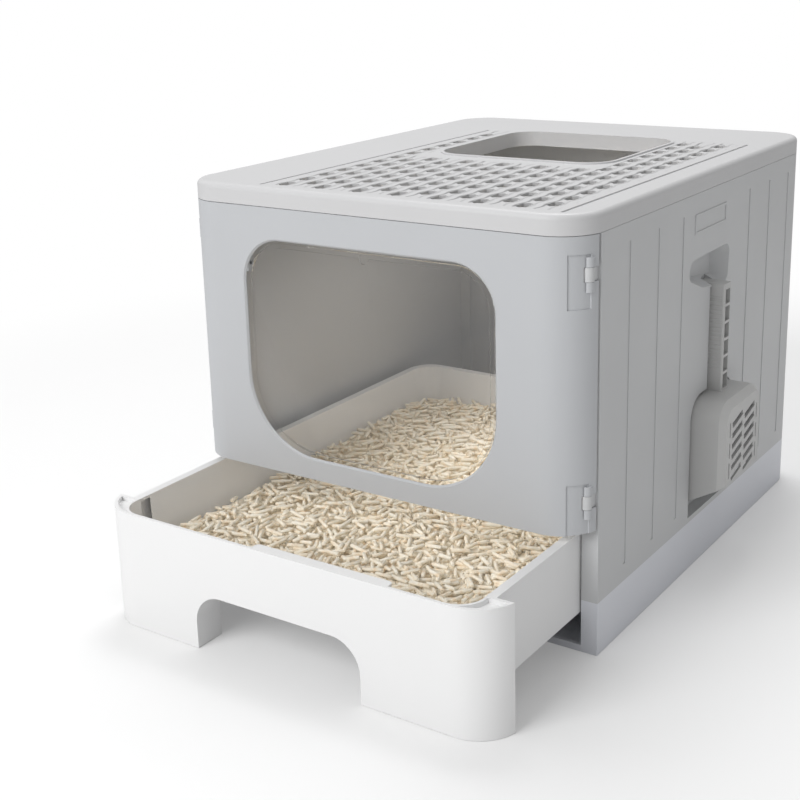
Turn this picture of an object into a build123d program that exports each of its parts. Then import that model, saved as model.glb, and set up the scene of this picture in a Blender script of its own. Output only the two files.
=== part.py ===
"""Covered litter box with a pull-out drawer, a hinged front door with a clear swing flap,
a slotted lid with a top entrance, and a scoop that hangs in a pocket of the right side panel.

Millimetres. +X right, +Y to the back, +Z up. The origin is the middle of the base's footprint
on the floor. The drawer is drawn pulled out by drawer_out, as it is stored in the photograph.
"""

import os

from build123d import *

os.makedirs("parts", exist_ok=True)

# ---------------------------------------------------------------- overall body
body_w = 410.0
body_d = 520.0
body_h = 380.0
corner_r = 38.0
wall = 2.5
fit_gap = 0.3

front_y = -body_d / 2
back_y = body_d / 2
right_x = body_w / 2

# Door and drawer front wrap round the front corners and stop just short of the body's edge.
seam_depth = 32.0
body_front_y = front_y + seam_depth
wrap_gap = 2.5
wrap_end_y = body_front_y - wrap_gap
body_rear_y = back_y - corner_r - 0.5

# ---------------------------------------------------------------- base tray
base_h = 48.0
rail_w = 15.0
floor_t = 2.5
sill_h = 6.0
sill_t = 4.0
runner_w = 6.0
runner_pitch = 120.0
runner_count = 3

# ---------------------------------------------------------------- lid
lid_skirt_h = 17.0
lid_edge_r = 5.0
entrance_w = 186.0
entrance_d = 180.0
entrance_x = 14.0
entrance_y = 63.0
entrance_r = 28.0
collar_t = 3.0
collar_h = 14.0
collar_up = 1.5
field_left = -120.0
field_right = 180.0
field_front = -247.0
field_back = 153.0
groove_w = 3.0
groove_d = 1.2
slot_columns = 14
slot_pitch = 29.0
slot_l = 21.0
slot_w = 10.5
slot_end = 4.0
collar_band_front = 21.0
collar_band_side = 6.0

# ---------------------------------------------------------------- panels
panel_groove_w = 4.5
panel_groove_d = 0.7
panel_groove_end = 16.0
groove_ys = (-177.0, -120.0, -68.0, 94.0, 149.0, 204.0)
plain_groove_ys = (-14.0, 40.0)
rear_groove_pitch = 54.0
rear_groove_count = 6
lip_h = 8.5
lip_gap = 0.8
lip_root = 12.0
lip_inset = 14.0
rear_lip_l = 280.0
latch_y = -4.0
latch_drop = 45.0
latch_w = 74.0
latch_h = 18.0
latch_line = 2.0
latch_t = 0.8

# ---------------------------------------------------------------- front door and window
door_bottom_z = 115.0
door_top_gap = 0.6
door_return = 8.0
window_w = 260.0
window_x = -3.0
window_top_gap = 30.0
window_bottom_gap = 20.0
window_top_r = 40.0
window_bottom_r = 72.0
window_bevel = 1.6

# ---------------------------------------------------------------- door hinges
hinge_inset = 6.0
hinge_forward = 10.0
hinge_top_drop = 48.5
hinge_bottom_rise = 27.0
knuckle_r = 4.5
knuckle_gap = 0.3
pin_r = 2.0
pin_clearance = 0.05
hinge_mid_h = 11.5
hinge_outer_h = 8.0
hinge_recess_t = 1.0
hinge_recess_l = 15.5
hinge_recess_up = 16.5
hinge_recess_down = 27.5
hinge_arm_in = 2.5
hinge_arm_out = 3.0
catch_w = 5.0
catch_h = 18.0
catch_reach = 6.0
catch_gap = 0.5
catch_root = 8.0

# ---------------------------------------------------------------- clear flap
flap_gap = 3.0
flap_t = 2.0
flap_rim_w = 4.0
flap_rim_t = 1.0
flap_pivot_drop = 24.0
flap_pivot_back = 6.5
stub_r = 1.8
stub_l = 9.0
stub_clearance = 0.05
boss_w = 8.0
boss_h = 14.0
boss_gap = 3.8
flap_knob_r = 4.5
flap_knob_t = 2.0

# ---------------------------------------------------------------- drawer
drawer_out = 134.0
rim_z = 109.0
fascia_t = 3.0
shelf_z = 58.0
arch_w = 173.0
arch_h = 53.0
arch_r = 28.0
arch_x = -6.0
tub_bottom_z = 34.0
tub_t = 2.5
tub_draft = 5.0
tub_r = 26.0
tub_low_r = 20.0
side_gap = 1.5
rim_w = 8.0
skirt_t = 2.0
skirt_z = 36.0
back_gap = 2.0
grip_w = 8.0
grip_x = 40.0
grip_l = 136.0
corner_cap_drop = 4.0
well_front_r = 22.0

# ---------------------------------------------------------------- litter fill
litter_gap = 0.4
litter_level = 69.0

# ---------------------------------------------------------------- scoop and its pocket
scoop_y = 14.0
scoop_w = 97.0
scoop_depth = 43.0
scoop_z0 = 64.0
scoop_z1 = 168.0
scoop_r = 20.0
scoop_edge = 6.0
mouth_rise = 24.0
scoop_t = 2.2
pocket_depth = 12.0
pocket_gap = 3.0
scoop_x0 = right_x - pocket_depth + 1.0
handle_w = 16.0
handle_depth = 17.0
handle_x0 = right_x - 5.0
handle_cells = 6
handle_web = 2.5
channel_depth = 6.5
channel_gap = 6.0
recess_z0 = 268.7
recess_depth = 16.0
dish_corners = ((-57, 288), (-44, 303), (46, 304), (42, 266), (-18, 273))
dish_r = 9.0
dish_taper = 25.0
hook_t = 3.0
hook_reach = 9.0
hook_room = 7.0
head_slot_z = 121.0
head_slot_w = 26.0
head_slot_h = 5.5
head_slot_pitch = 10.5
head_slot_rows = 6
head_slot_tilt = 14.0
edge_slot_w = 2.0
edge_slot_apart = 16.0
edge_slot_l = 15.0
edge_slot_pitch = 20.0

# ---------------------------------------------------------------- worked-out places
lid_z = body_h - lid_skirt_h
panel_top_z = lid_z - fit_gap
panel_h = panel_top_z - base_h
door_h = lid_z - door_top_gap - door_bottom_z
inner_x = right_x - rail_w
drawer_front_y = front_y - drawer_out
wing_end_y = wrap_end_y - drawer_out
rim_x = inner_x - side_gap
tub_x = rim_x - rim_w + tub_t
rim_back_y = back_y - rail_w - back_gap - drawer_out
tub_back_y = rim_back_y - rim_w + tub_t
shelf_x = tub_x - tub_t - tub_draft * (rim_z - shelf_z) / (rim_z - tub_bottom_z - tub_t)
field_pitch = (field_right - field_left) / (slot_columns + 1)
hinge_x = right_x - hinge_inset
hinge_y = body_front_y - hinge_forward
hinge_zs = (body_h - hinge_top_drop, door_bottom_z + hinge_bottom_rise)
hinge_arm_x0 = hinge_x - hinge_arm_in
hinge_arm_x1 = hinge_x + hinge_arm_out
window_top_z = lid_z - window_top_gap
window_bottom_z = door_bottom_z + window_bottom_gap
window_h = window_top_z - window_bottom_z
window_z = (window_top_z + window_bottom_z) / 2
flap_pivot_z = window_top_z - flap_pivot_drop
latch_z = body_h - latch_drop


def wrap_sketch(thickness, y_from, y_to, y_shift=0.0):
    """Strip of the body's rounded outline, one wall thick, between two depths."""
    with Locations((0, y_shift)):
        RectangleRounded(body_w, body_d, corner_r)
        RectangleRounded(
            body_w - 2 * thickness,
            body_d - 2 * thickness,
            corner_r - thickness,
            mode=Mode.SUBTRACT,
        )
    with Locations((0, (y_from + y_to) / 2)):
        Rectangle(body_w, y_to - y_from, mode=Mode.INTERSECT)


def window_outline(inset):
    """The window's shape, drawn smaller all round by the inset."""
    with Locations((window_x, window_z)):
        Rectangle(window_w - 2 * inset, window_h - 2 * inset)
    fillet(vertices().group_by(Axis.Y)[-1], window_top_r - inset)
    fillet(vertices().group_by(Axis.Y)[0], window_bottom_r - inset)


def arch_outline(grow):
    """The finger arch under the drawer front, drawn larger by the wall round it."""
    half_w = arch_w / 2 + grow
    with Locations((arch_x, (arch_h + grow) / 2)):
        Rectangle(2 * half_w, arch_h + grow)
    fillet(vertices().group_by(Axis.Y)[-1], arch_r + grow)


def rear_rounded(half_w, y_from, y_to, radius):
    """A rectangle whose two rear corners are round."""
    with Locations((0, (y_from + y_to) / 2)):
        Rectangle(2 * half_w, y_to - y_from)
    fillet(vertices().group_by(Axis.Y)[-1], radius)


# ================================================================ base tray
with BuildPart() as base_tray:
    with BuildSketch(Plane.XY):
        rear_rounded(right_x, body_front_y, back_y, corner_r)
    extrude(amount=base_h)
    # Drawer bay, open at the front.
    with BuildSketch(Plane.XY.offset(floor_t)):
        rear_rounded(inner_x, body_front_y, back_y - rail_w, corner_r - rail_w)
    extrude(amount=base_h, mode=Mode.SUBTRACT)
    # The rails round the bay are hollow boxes, open underneath.
    with BuildSketch(Plane.XY):
        rear_rounded(right_x - wall, body_front_y + wall, back_y - wall, corner_r - wall)
        with Locations((0, 0)):
            Rectangle(
                2 * (inner_x + wall),
                2 * (back_y - rail_w + wall),
                mode=Mode.SUBTRACT,
            )
    extrude(amount=base_h - wall, mode=Mode.SUBTRACT)
    # Sill across the drawer bay's mouth.
    with BuildSketch(Plane.XY.offset(floor_t)):
        with Locations((0, body_front_y + sill_t / 2)):
            Rectangle(2 * inner_x, sill_t)
    extrude(amount=sill_h - floor_t)
    # Runner ribs that carry the drawer's tub.
    with BuildSketch(Plane.XY.offset(floor_t)):
        with Locations((0, (body_front_y + back_y - rail_w) / 2)):
            with GridLocations(runner_pitch, 1, runner_count, 1):
                Rectangle(runner_w, back_y - rail_w - body_front_y)
    extrude(amount=tub_bottom_z - fit_gap - floor_t)
base_tray.part.label = "base_tray"


# ================================================================ side panels
def panel_tray(side):
    """A side panel's skin with its returns: a tray with its hollow towards the cabin."""
    depth = body_rear_y - body_front_y
    middle_y = (body_rear_y + body_front_y) / 2
    with BuildSketch(Plane.XY.offset(base_h)) as outer:
        with Locations((side * (right_x - rail_w / 2), middle_y)):
            Rectangle(rail_w, depth)
    extrude(outer.sketch, amount=panel_h)
    with BuildSketch(Plane.XY.offset(base_h + wall)) as hollow:
        with Locations((side * (right_x - wall - rail_w / 2), middle_y)):
            Rectangle(rail_w, depth - 2 * wall)
    extrude(hollow.sketch, amount=panel_h - 2 * wall, mode=Mode.SUBTRACT)
    # Upright lip that locates the lid from inside its skirt.
    with BuildSketch(Plane.XY.offset(panel_top_z - wall)) as lip:
        with Locations((side * (right_x - lip_gap - 1.5 * wall), middle_y)):
            Rectangle(wall, depth - 2 * lip_inset)
    extrude(lip.sketch, amount=wall + lip_h)


def panel_grooves(side, places):
    """Shallow upright grooves down the outside of a side panel."""
    groove_h = panel_h - 2 * panel_groove_end
    with BuildSketch(Plane.YZ.offset(side * right_x)) as grooves:
        for place in places:
            with Locations((place, base_h + panel_h / 2)):
                Rectangle(panel_groove_w, groove_h)
    extrude(grooves.sketch, amount=-side * panel_groove_d, mode=Mode.SUBTRACT)


with BuildPart() as left_side_panel:
    panel_tray(-1)
    panel_grooves(-1, groove_ys + plain_groove_ys)
    # Slots in the front return that take the door's catch tabs.
    with BuildSketch(Plane.XZ.offset(-body_front_y)):
        for hinge_z in hinge_zs:
            with Locations((-right_x + wall + catch_gap + catch_w / 2, hinge_z)):
                Rectangle(catch_w + 2 * catch_gap, catch_h + 2 * catch_gap)
    extrude(amount=-wall, mode=Mode.SUBTRACT)
left_side_panel.part.label = "left_side_panel"


def pocket_outline(grow):
    """Scoop pocket: the head's rounded outline and the channel for the handle above it."""
    head_z0 = base_h + 2 * wall
    head_z1 = scoop_z1 + pocket_gap
    with Locations((scoop_y, (head_z0 + head_z1) / 2)):
        Rectangle(scoop_w + 2 * (pocket_gap + grow), head_z1 - head_z0 + 2 * grow)
    fillet(vertices().group_by(Axis.Y)[-1], scoop_r + pocket_gap + grow)


def channel_outline(grow):
    """The handle's channel between the head's pocket and the finger recess."""
    with Locations((scoop_y, (scoop_z1 + recess_z0) / 2)):
        Rectangle(handle_w + 2 * (channel_gap + grow), recess_z0 - scoop_z1 + 2)


def dish_outline(grow):
    """Finger recess behind the handle's end, on the panel's face seen from outside in."""
    Polygon(*[(y, -z) for y, z in dish_corners], align=None)
    fillet(vertices(), dish_r)
    if grow:
        offset(amount=grow)


dish_plane = Plane(origin=(right_x, 0, 0), x_dir=(0, 1, 0), z_dir=(-1, 0, 0))
hook_seat_x = right_x - recess_depth / 2

with BuildPart() as right_side_panel:
    panel_tray(1)
    # Backs of the pocket, the channel and the finger recess, inside the panel.
    with BuildSketch(Plane.YZ.offset(right_x)):
        pocket_outline(wall)
    extrude(amount=-(pocket_depth + wall))
    with BuildSketch(Plane.YZ.offset(right_x)):
        channel_outline(wall)
    extrude(amount=-(channel_depth + wall))
    with BuildSketch(dish_plane):
        dish_outline(wall)
    extrude(amount=recess_depth + wall, taper=dish_taper)
    # Seat for the scoop's hook, at the middle of the recess's lower edge.
    with BuildSketch(Plane.XY.offset(recess_z0 - wall)):
        with Locations((hook_seat_x - wall / 2, scoop_y)):
            Rectangle(recess_depth + wall, handle_w + 4 + 2 * wall)
    extrude(amount=hook_room + 2 * wall)
    panel_grooves(1, groove_ys)
    # The hollows themselves.
    with BuildSketch(Plane.YZ.offset(right_x)):
        pocket_outline(0)
    extrude(amount=-pocket_depth, mode=Mode.SUBTRACT)
    with BuildSketch(Plane.YZ.offset(right_x)):
        channel_outline(0)
    extrude(amount=-channel_depth, mode=Mode.SUBTRACT)
    with BuildSketch(dish_plane):
        dish_outline(0)
    extrude(amount=recess_depth, taper=dish_taper, mode=Mode.SUBTRACT)
    with BuildSketch(Plane.XY.offset(recess_z0)):
        with Locations((hook_seat_x, scoop_y)):
            Rectangle(recess_depth, handle_w + 4)
    extrude(amount=hook_room, mode=Mode.SUBTRACT)
    # Raised frame above the finger recess.
    with BuildSketch(Plane.YZ.offset(right_x)):
        with Locations((latch_y, latch_z)):
            Rectangle(latch_w, latch_h)
            Rectangle(latch_w - 2 * latch_line, latch_h - 2 * latch_line, mode=Mode.SUBTRACT)
    extrude(amount=latch_t)
    # Knuckles for the door's hinge pins, on short arms.
    for hinge_z in hinge_zs:
        with BuildSketch(Plane.XY.offset(hinge_z - hinge_mid_h / 2)):
            with Locations((hinge_x, hinge_y)):
                Circle(knuckle_r)
            with Locations(((hinge_arm_x0 + hinge_arm_x1) / 2, (hinge_y + body_front_y) / 2)):
                Rectangle(hinge_arm_x1 - hinge_arm_x0, body_front_y - hinge_y)
            with Locations((hinge_x, hinge_y)):
                Circle(pin_r + pin_clearance, mode=Mode.SUBTRACT)
        extrude(amount=hinge_mid_h)
right_side_panel.part.label = "right_side_panel"

# ================================================================ rear panel
with BuildPart() as rear_panel:
    with BuildSketch(Plane.XY.offset(base_h)):
        wrap_sketch(wall, body_rear_y, back_y)
    extrude(amount=panel_h)
    # Returns that butt against the side panels' rear returns.
    with BuildSketch(Plane.XY.offset(base_h)):
        for side in (-1, 1):
            with Locations((side * (right_x - rail_w / 2), body_rear_y + wall / 2)):
                Rectangle(rail_w, wall)
    extrude(amount=panel_h)
    with BuildSketch(Plane.XZ.offset(-back_y)):
        with Locations((0, base_h + panel_h / 2)):
            with GridLocations(rear_groove_pitch, 1, rear_groove_count, 1):
                Rectangle(panel_groove_w, panel_h - 2 * panel_groove_end)
    extrude(amount=panel_groove_d, mode=Mode.SUBTRACT)
    # Upright lip that locates the lid from inside its skirt.
    with BuildSketch(Plane.XY.offset(panel_top_z - lip_root)):
        with Locations((0, back_y - wall - (lip_gap + wall) / 2)):
            Rectangle(rear_lip_l, lip_gap + wall)
    extrude(amount=lip_root)
    with BuildSketch(Plane.XY.offset(panel_top_z)):
        with Locations((0, back_y - 1.5 * wall - lip_gap)):
            Rectangle(rear_lip_l, wall)
    extrude(amount=lip_h)
rear_panel.part.label = "rear_panel"


# ================================================================ lid
def slot_places():
    """Centres of the lid's slots: staggered columns that stay clear of the entrance's rim."""
    places = []
    half_l = slot_l / 2
    keep_x0 = entrance_x - entrance_w / 2 - collar_band_side
    keep_x1 = entrance_x + entrance_w / 2 + collar_band_side
    keep_y0 = entrance_y - entrance_d / 2 - collar_band_front
    for column in range(slot_columns):
        x = field_left + (column + 1) * field_pitch
        y = field_front + half_l + groove_w + (column % 2) * slot_pitch / 2
        while y + half_l < field_back:
            on_rim = keep_x0 < x < keep_x1 and y + half_l > keep_y0
            if not on_rim:
                places.append((x, y))
            y += slot_pitch
    return places


slot_half_w = slot_w / 2
slot_half_l = slot_l / 2
slot_neck_l = slot_half_l - slot_end
slot_outline = [
    (slot_half_w, slot_neck_l),
    (0, slot_half_l),
    (-slot_half_w, slot_neck_l),
    (-slot_half_w, -slot_neck_l),
    (0, -slot_half_l),
    (slot_half_w, -slot_neck_l),
]


with BuildPart() as lid:
    with BuildSketch(Plane.XY.offset(lid_z)):
        RectangleRounded(body_w, body_d, corner_r)
    extrude(amount=lid_skirt_h)
    fillet(faces().sort_by(Axis.Z)[-1].edges(), lid_edge_r)
    with BuildSketch(Plane.XY.offset(lid_z)):
        RectangleRounded(body_w - 2 * wall, body_d - 2 * wall, corner_r - wall)
    extrude(amount=lid_skirt_h - wall, mode=Mode.SUBTRACT)
    # Collar round the top entrance, raised a little above the lid.
    with BuildSketch(Plane.XY.offset(body_h - collar_h)):
        with Locations((entrance_x, entrance_y)):
            RectangleRounded(
                entrance_w + 2 * collar_t, entrance_d + 2 * collar_t, entrance_r + collar_t
            )
    extrude(amount=collar_h + collar_up)
    with BuildSketch(Plane.XY.offset(body_h - collar_h)):
        with Locations((entrance_x, entrance_y)):
            RectangleRounded(entrance_w, entrance_d, entrance_r)
    extrude(amount=collar_h + collar_up, mode=Mode.SUBTRACT)
    # Staggered slots that let litter fall from the paws back into the drawer.
    with BuildSketch(Plane.XY.offset(body_h)):
        with Locations(*slot_places()):
            Polygon(*slot_outline)
    extrude(amount=-wall, mode=Mode.SUBTRACT)
    # Long grooves that frame the slotted field.
    with BuildSketch(Plane.XY.offset(body_h)):
        for x in (field_left, field_right):
            with Locations((x, (field_front + field_back) / 2)):
                Rectangle(groove_w, field_back - field_front)
    extrude(amount=-groove_d, mode=Mode.SUBTRACT)
lid.part.label = "lid"

# ================================================================ front door
with BuildPart() as front_door:
    with BuildSketch(Plane.XY.offset(door_bottom_z)):
        wrap_sketch(wall, front_y, wrap_end_y)
    extrude(amount=door_h)
    # Returns along the straight top and bottom edges.
    return_w = body_w - 2 * corner_r
    for return_z in (door_bottom_z, door_bottom_z + door_h - wall):
        with BuildSketch(Plane.XY.offset(return_z)):
            with Locations((0, front_y + wall + door_return / 2)):
                Rectangle(return_w, door_return)
        extrude(amount=wall)
    # Bosses that hold the flap's pivot stubs.
    pivot_y = front_y + flap_pivot_back
    pivot_rise = flap_pivot_z - (window_top_z - window_top_r)
    pivot_inset = window_top_r - (window_top_r**2 - pivot_rise**2) ** 0.5
    for side in (-1, 1):
        boss_x = window_x + side * (window_w / 2 - pivot_inset - flap_gap + boss_gap + boss_w / 2)
        with BuildSketch(Plane.XZ.offset(-front_y - wall)):
            with Locations((boss_x, flap_pivot_z)):
                Rectangle(boss_w, boss_h)
        extrude(amount=-(2 * (flap_pivot_back - wall)))
        with BuildSketch(Plane.YZ.offset(boss_x - boss_w / 2)):
            with Locations((pivot_y, flap_pivot_z)):
                Circle(stub_r + stub_clearance)
        extrude(amount=boss_w, mode=Mode.SUBTRACT)
    with BuildSketch(Plane.XZ.offset(-front_y)):
        window_outline(0)
    extrude(amount=-wall, mode=Mode.SUBTRACT)
    chamfer(edges(Select.LAST).group_by(Axis.Y)[0], window_bevel)
    # Hinge knuckles above and below the panel's knuckle, and a notch for the panel's arm.
    for hinge_z in hinge_zs:
        notch_h = hinge_mid_h + 2 * knuckle_gap
        for side in (-1, 1):
            knuckle_z = hinge_z + side * (notch_h + hinge_outer_h) / 2
            with BuildSketch(Plane.XY.offset(knuckle_z - hinge_outer_h / 2)):
                with Locations((hinge_x, hinge_y)):
                    Circle(knuckle_r)
            extrude(amount=hinge_outer_h)
        with BuildSketch(Plane.XY.offset(hinge_z - notch_h / 2)):
            with Locations((hinge_x, (hinge_y - knuckle_r - 0.8 + wrap_end_y + 1) / 2)):
                Rectangle(4 * knuckle_r, wrap_end_y + 1 - hinge_y + knuckle_r + 0.8)
        extrude(amount=notch_h, mode=Mode.SUBTRACT)
        with BuildSketch(Plane.XY.offset(hinge_z - notch_h / 2 - hinge_outer_h)):
            with Locations((hinge_x, hinge_y)):
                Circle(pin_r)
        extrude(amount=notch_h + 2 * hinge_outer_h, mode=Mode.SUBTRACT)
        # Shallow recess in the corner beside the hinge.
        with BuildSketch(Plane.XY.offset(hinge_z - hinge_recess_down)):
            wrap_sketch(hinge_recess_t, hinge_y - hinge_recess_l, hinge_y)
            with Locations((right_x / 2, hinge_y)):
                Rectangle(right_x, 4 * hinge_recess_l, mode=Mode.INTERSECT)
        extrude(amount=hinge_recess_down + hinge_recess_up, mode=Mode.SUBTRACT)
    # Catch tabs on the left edge.
    for hinge_z in hinge_zs:
        with BuildSketch(Plane.XZ.offset(-wrap_end_y)):
            with Locations((-right_x + wall + catch_gap + catch_w / 2, hinge_z)):
                Rectangle(catch_w, catch_h)
        extrude(amount=-catch_reach)
        with BuildSketch(Plane.XZ.offset(-wrap_end_y + catch_root)):
            with Locations((-right_x + wall + catch_gap + catch_w / 2 - 1, hinge_z)):
                Rectangle(catch_w + 2, catch_h)
        extrude(amount=-catch_root)
front_door.part.label = "front_door"

# ================================================================ hinge pins
pin_l = hinge_mid_h + 2 * knuckle_gap + 2 * hinge_outer_h
hinge_pins = []
for name, hinge_z in zip(("door_hinge_pin_upper", "door_hinge_pin_lower"), hinge_zs):
    with BuildPart() as hinge_pin:
        with BuildSketch(Plane.XY.offset(hinge_z - pin_l / 2)):
            with Locations((hinge_x, hinge_y)):
                Circle(pin_r)
        extrude(amount=pin_l)
    hinge_pin.part.label = name
    hinge_pins.append(hinge_pin.part)

# ================================================================ clear flap
flap_y = front_y + flap_pivot_back
with BuildPart() as door_flap:
    with BuildSketch(Plane.XZ.offset(-flap_y + flap_t / 2)):
        window_outline(flap_gap)
    extrude(amount=-flap_t)
    # Stiffening rim on the outside.
    with BuildSketch(Plane.XZ.offset(-flap_y + flap_t / 2)):
        window_outline(flap_gap)
    extrude(amount=flap_rim_t)
    with BuildSketch(Plane.XZ.offset(-flap_y + flap_t / 2)):
        window_outline(flap_gap + flap_rim_w)
    extrude(amount=flap_rim_t, mode=Mode.SUBTRACT)
    # Pivot stubs on both sides.
    for side in (-1, 1):
        stub_x = window_x + side * (window_w / 2 - pivot_inset - flap_gap)
        with BuildSketch(Plane.YZ.offset(stub_x)):
            with Locations((flap_y, flap_pivot_z)):
                Circle(stub_r)
        extrude(amount=side * stub_l)
    # Knob at the top edge.
    with BuildSketch(Plane.XZ.offset(-flap_y)):
        with Locations((window_x, window_z + window_h / 2 - flap_gap - flap_knob_r)):
            Circle(flap_knob_r)
    extrude(amount=flap_t / 2 + flap_knob_t)
door_flap.part.label = "door_flap"

# ================================================================ drawer
def well_outline(half_w, radius, mode=Mode.ADD):
    """Plan of the drawer's inside over its feet, with two round corners at the front."""
    grow = radius - well_front_r
    y_from = drawer_front_y + fascia_t - grow
    y_to = wing_end_y - fascia_t + 2 * tub_r
    with BuildSketch(mode=Mode.PRIVATE) as well:
        with Locations((0, (y_from + y_to) / 2)):
            Rectangle(2 * half_w, y_to - y_from)
        fillet(vertices().group_by(Axis.Y)[0], radius)
    add(well.sketch, mode=mode)


with BuildPart() as drawer:
    # Wrap-round front that stands on the floor.
    with BuildSketch(Plane.XY):
        with Locations((0, -drawer_out)):
            RectangleRounded(body_w, body_d, corner_r)
        with Locations((0, (drawer_front_y + wing_end_y) / 2)):
            Rectangle(body_w, wing_end_y - drawer_front_y, mode=Mode.INTERSECT)
    extrude(amount=rim_z)
    # Hollow feet, open underneath.
    with BuildSketch(Plane.XY):
        with Locations((0, -drawer_out)):
            RectangleRounded(
                body_w - 2 * fascia_t, body_d - 2 * fascia_t, corner_r - fascia_t
            )
        hollow_end_y = wing_end_y - fascia_t
        with Locations((0, (drawer_front_y + hollow_end_y) / 2)):
            Rectangle(body_w, hollow_end_y - drawer_front_y, mode=Mode.INTERSECT)
    extrude(amount=shelf_z - fascia_t, mode=Mode.SUBTRACT)
    # Finger arch with its own jambs.
    with BuildSketch(Plane.XZ.offset(-drawer_front_y)):
        arch_outline(fascia_t)
    extrude(amount=-(wing_end_y - drawer_front_y))
    with BuildSketch(Plane.XZ.offset(-drawer_front_y)):
        arch_outline(0)
    extrude(amount=-(wing_end_y - drawer_front_y), mode=Mode.SUBTRACT)
    # Tapered tub.
    tub_front_y = wing_end_y - fascia_t
    with BuildSketch(Plane.XY.offset(tub_bottom_z)):
        with Locations((0, (wing_end_y + tub_back_y - tub_draft) / 2)):
            RectangleRounded(
                2 * (tub_x - tub_draft), tub_back_y - tub_draft - wing_end_y, tub_low_r
            )
    with BuildSketch(Plane.XY.offset(rim_z)):
        with Locations((0, (tub_front_y + tub_back_y) / 2)):
            RectangleRounded(2 * tub_x, tub_back_y - tub_front_y, tub_r)
    loft()
    # Rim flange and the skirt that hangs from it.
    with BuildSketch(Plane.XY.offset(skirt_z)):
        rear_rounded(rim_x, wing_end_y - fascia_t, rim_back_y, tub_r + 2)
        with Locations((0, (wing_end_y + rim_back_y - skirt_t) / 2)):
            Rectangle(
                2 * (rim_x - skirt_t),
                rim_back_y - skirt_t - wing_end_y,
                mode=Mode.SUBTRACT,
            )
    extrude(amount=rim_z - skirt_z)
    with BuildSketch(Plane.XY.offset(rim_z - wall)):
        rear_rounded(rim_x, wing_end_y - fascia_t, rim_back_y, tub_r + 2)
    extrude(amount=wall)
    # Inside of the tub.
    with BuildSketch(Plane.XY.offset(tub_bottom_z + tub_t)):
        with Locations((0, (wing_end_y + tub_back_y - tub_draft) / 2)):
            RectangleRounded(
                2 * (tub_x - tub_draft - tub_t),
                tub_back_y - tub_draft - wing_end_y - 2 * tub_t,
                tub_low_r - tub_t,
            )
    with BuildSketch(Plane.XY.offset(rim_z)):
        with Locations((0, (tub_front_y + tub_back_y) / 2)):
            RectangleRounded(
                2 * (tub_x - tub_t), tub_back_y - tub_front_y - 2 * tub_t, tub_r - tub_t
            )
    loft(mode=Mode.SUBTRACT)
    # The inside runs on over the feet, up to the front wall.
    for level, half_w in ((shelf_z, shelf_x), (rim_z, tub_x - tub_t)):
        with BuildSketch(Plane.XY.offset(level)):
            well_outline(half_w, well_front_r)
    loft(mode=Mode.SUBTRACT)
    # Corners beside it: a sunk cap on top, hollow underneath.
    for level, height in (
        (rim_z - corner_cap_drop, corner_cap_drop),
        (shelf_z - fascia_t, rim_z - corner_cap_drop - shelf_z),
    ):
        with BuildSketch(Plane.XY.offset(level)):
            with Locations((0, -drawer_out)):
                RectangleRounded(
                    body_w - 2 * fascia_t, body_d - 2 * fascia_t, corner_r - fascia_t
                )
            with Locations((0, (drawer_front_y + hollow_end_y) / 2)):
                Rectangle(body_w, hollow_end_y - drawer_front_y, mode=Mode.INTERSECT)
            well_outline(tub_x, well_front_r + tub_t, Mode.SUBTRACT)
        extrude(amount=height, mode=Mode.SUBTRACT)
    # Grip lip on the front wall.
    with BuildSketch(Plane.XY.offset(rim_z - wall)):
        with Locations((grip_x, drawer_front_y + fascia_t + grip_w / 2 - 1)):
            RectangleRounded(grip_l, grip_w + 2, grip_w / 2)
    extrude(amount=wall)
drawer.part.label = "drawer"

# ================================================================ litter fill
with BuildPart() as litter_fill:
    tub_inner_x = tub_x - tub_t - litter_gap
    with BuildSketch(Plane.XY.offset(tub_bottom_z + tub_t)):
        with Locations((0, (wing_end_y + tub_back_y - tub_draft) / 2)):
            RectangleRounded(
                2 * (tub_inner_x - tub_draft),
                tub_back_y - tub_draft - wing_end_y - 2 * (tub_t + litter_gap),
                tub_low_r - tub_t,
            )
    with BuildSketch(Plane.XY.offset(rim_z)):
        with Locations((0, (tub_front_y + tub_back_y) / 2)):
            RectangleRounded(
                2 * tub_inner_x,
                tub_back_y - tub_front_y - 2 * (tub_t + litter_gap),
                tub_r - tub_t,
            )
    loft()
    split(bisect_by=Plane.XY.offset(litter_level), keep=Keep.BOTTOM)
    with BuildSketch(Plane.XY.offset(shelf_z + litter_gap)):
        heap_y0 = drawer_front_y + fascia_t + litter_gap
        heap_y1 = hollow_end_y + 2 * tub_r
        with Locations((0, (heap_y0 + heap_y1) / 2)):
            RectangleRounded(2 * (shelf_x - litter_gap), heap_y1 - heap_y0, tub_r)
    extrude(amount=litter_level - shelf_z - litter_gap)
litter_fill.part.label = "litter_fill"

# ================================================================ scoop
scoop_mid_z = (scoop_z0 + scoop_z1) / 2
scoop_x1 = scoop_x0 + scoop_depth
handle_x1 = handle_x0 + handle_depth
handle_z1 = recess_z0 + fit_gap + hook_t


def scoop_head(inset):
    """Rounded head outline on the YZ plane, open past its mouth when it is the hollow."""
    with Locations((scoop_y, scoop_mid_z)):
        Rectangle(scoop_w - 2 * inset, scoop_z1 - scoop_z0 - 2 * inset)
    fillet(vertices().group_by(Axis.Y)[-1], scoop_r - inset)


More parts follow.
